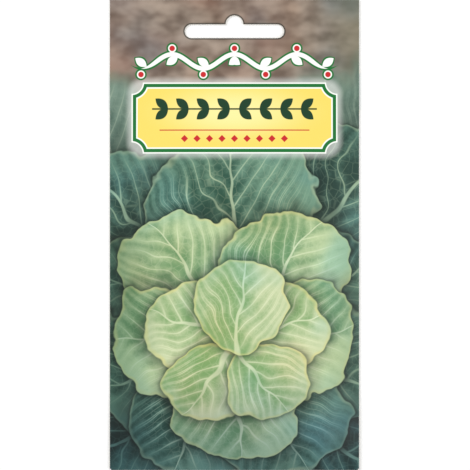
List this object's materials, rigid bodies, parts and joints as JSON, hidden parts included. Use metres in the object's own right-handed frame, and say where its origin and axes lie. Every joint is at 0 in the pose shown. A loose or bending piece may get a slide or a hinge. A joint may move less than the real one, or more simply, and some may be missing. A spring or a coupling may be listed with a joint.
{
  "type": "seed packet",
  "caption": "Flat paper seed packet, folded and glued shut, with a hang slot punched through its header and loose round seeds lying in its pocket.",
  "frame": {"origin": "on the table, under the middle of the packet", "axes": "+X across the packet, to the right as its front is seen; +Y up the packet, from the bottom fold to the header; +Z out of the printed front, up from the table"},
  "size_m": [0.08, 0.151, 0.0038],
  "materials": {
    "printed_paper": "gloss-coated paper, printed in full colour on its outside",
    "dried_glue": "dried paste, matte",
    "seed_coat": "dry seed skin, satin"
  },
  "bodies": {
    "root": {"printed_wrapper": "printed_paper", "side_seam_glue": "dried_glue", "bottom_flap_glue": "dried_glue", "header_glue": "dried_glue", "seed_01": "seed_coat", "seed_02": "seed_coat", "seed_03": "seed_coat", "seed_04": "seed_coat", "seed_05": "seed_coat", "seed_06": "seed_coat", "seed_07": "seed_coat", "seed_08": "seed_coat", "seed_09": "seed_coat", "seed_10": "seed_coat", "seed_11": "seed_coat", "seed_12": "seed_coat", "seed_13": "seed_coat", "seed_14": "seed_coat", "seed_15": "seed_coat", "seed_16": "seed_coat", "seed_17": "seed_coat", "seed_18": "seed_coat", "seed_19": "seed_coat", "seed_20": "seed_coat", "seed_21": "seed_coat", "seed_22": "seed_coat", "seed_23": "seed_coat", "seed_24": "seed_coat", "seed_25": "seed_coat", "seed_26": "seed_coat", "seed_27": "seed_coat", "seed_28": "seed_coat", "seed_29": "seed_coat", "seed_30": "seed_coat", "seed_31": "seed_coat", "seed_32": "seed_coat", "seed_33": "seed_coat", "seed_34": "seed_coat", "seed_35": "seed_coat", "seed_36": "seed_coat", "seed_37": "seed_coat", "seed_38": "seed_coat", "seed_39": "seed_coat", "seed_40": "seed_coat", "seed_41": "seed_coat", "seed_42": "seed_coat", "seed_43": "seed_coat", "seed_44": "seed_coat", "seed_45": "seed_coat", "seed_46": "seed_coat", "seed_47": "seed_coat", "seed_48": "seed_coat", "seed_49": "seed_coat", "seed_50": "seed_coat", "seed_51": "seed_coat", "seed_52": "seed_coat"}
  },
  "joints": []
}
